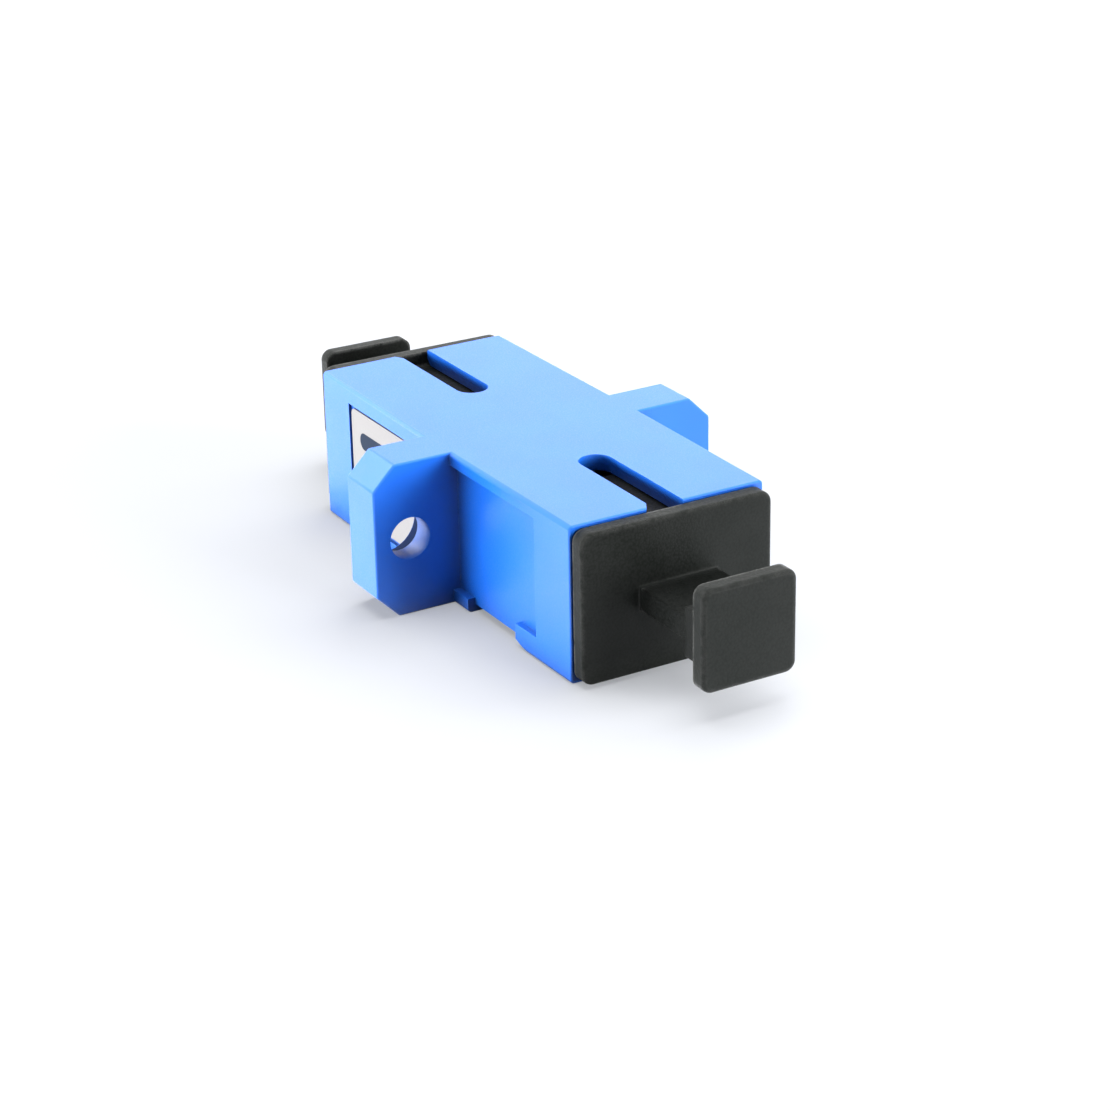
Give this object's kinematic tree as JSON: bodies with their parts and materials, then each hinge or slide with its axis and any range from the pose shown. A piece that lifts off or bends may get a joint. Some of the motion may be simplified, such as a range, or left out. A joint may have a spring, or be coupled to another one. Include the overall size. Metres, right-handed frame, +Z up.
{
  "type": "fibre optic adapter",
  "caption": "Flanged bulkhead adapter that joins a pair of square push-pull fibre optic plugs end to end, with a pull-out dust cap in each port.",
  "frame": {"origin": "middle of the part in plan, on the surface that it stands on", "axes": "+X along the flange to the right, +Y along the optical axis away from the end with the clip track, +Z up through the key slots"},
  "size_m": [0.0226, 0.0457, 0.0093],
  "materials": {
    "blue_housing": "satin moulded",
    "natural_latch": "smooth moulded",
    "white_ceramic": "ground",
    "black_cap": "fine grained",
    "white_label": "smooth paper"
  },
  "bodies": {
    "adapter": {"housing": "blue_housing", "front_latch_half": "natural_latch", "rear_latch_half": "natural_latch", "alignment_sleeve": "white_ceramic", "side_label": "white_label"},
    "front_cap": {"front_dust_cap": "black_cap"},
    "rear_cap": {"rear_dust_cap": "black_cap"}
  },
  "joints": [
    {"name": "front_cap_pull", "type": "slide", "parent": "adapter", "child": "front_cap", "axis": [0, -1, 0], "range_m": [0, 0.03]},
    {"name": "rear_cap_pull", "type": "slide", "parent": "adapter", "child": "rear_cap", "axis": [0, 1, 0], "range_m": [0, 0.03]}
  ]
}
